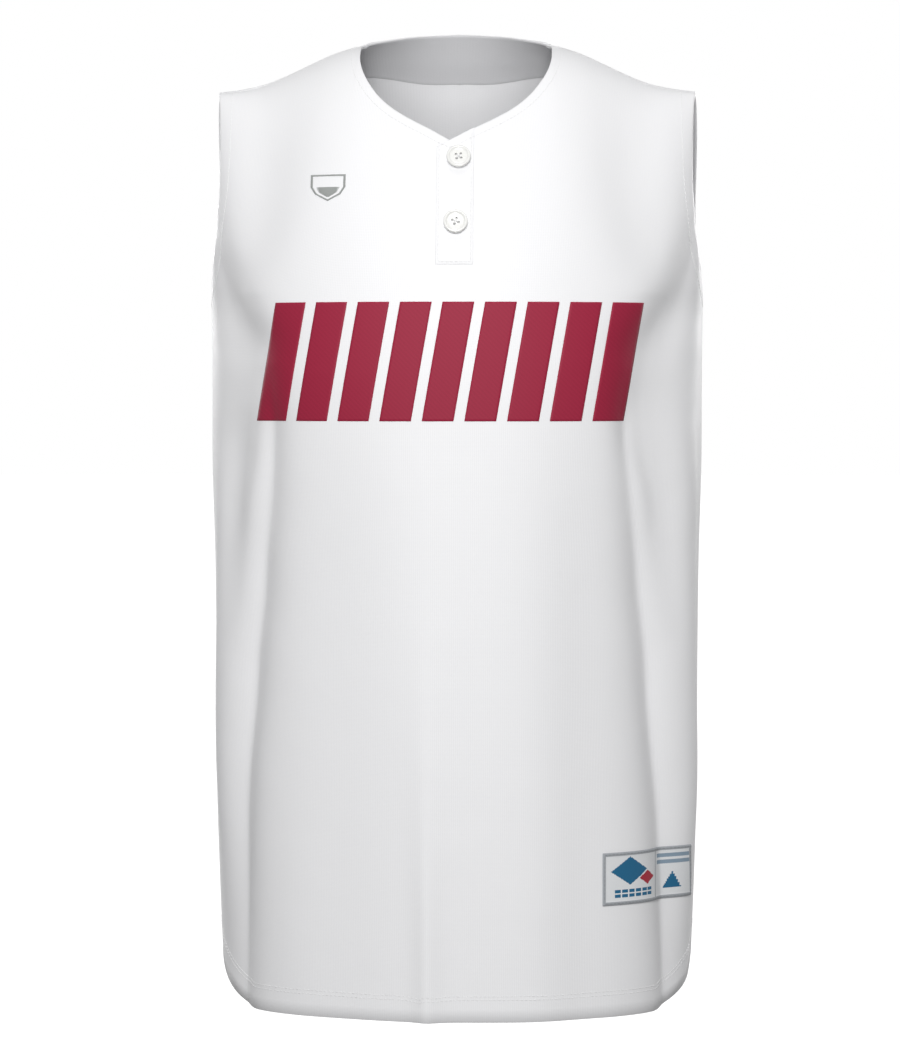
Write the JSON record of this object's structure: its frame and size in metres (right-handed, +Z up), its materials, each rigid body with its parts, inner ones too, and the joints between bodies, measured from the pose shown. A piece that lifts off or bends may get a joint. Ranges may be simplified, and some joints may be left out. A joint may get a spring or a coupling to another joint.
{
  "type": "sleeveless baseball jersey",
  "caption": "Sleeveless pullover baseball jersey in white cloth, filled out as worn, with a V neck, a buttoned placket, open armholes and a rounded hem.",
  "frame": {"origin": "midway between the two neck points of the shoulder seams, where the wearer's shoulders carry the jersey", "axes": "+Z up, the front faces -Y, +X is the right of someone who faces the front (the wearer's left)"},
  "size_m": [0.4016, 0.2738, 0.7941],
  "materials": {
    "white_cloth": "smooth white polyester knit",
    "facing_cloth": "white polyester knit, turned inside",
    "button": "polished white resin",
    "patch_weave": "dense woven patch"
  },
  "bodies": {
    "root": {"front": "white_cloth", "back": "white_cloth", "neck_facing": "facing_cloth", "placket": "white_cloth", "button_top": "button", "button_bottom": "button", "hem_patch": "patch_weave"}
  },
  "joints": []
}
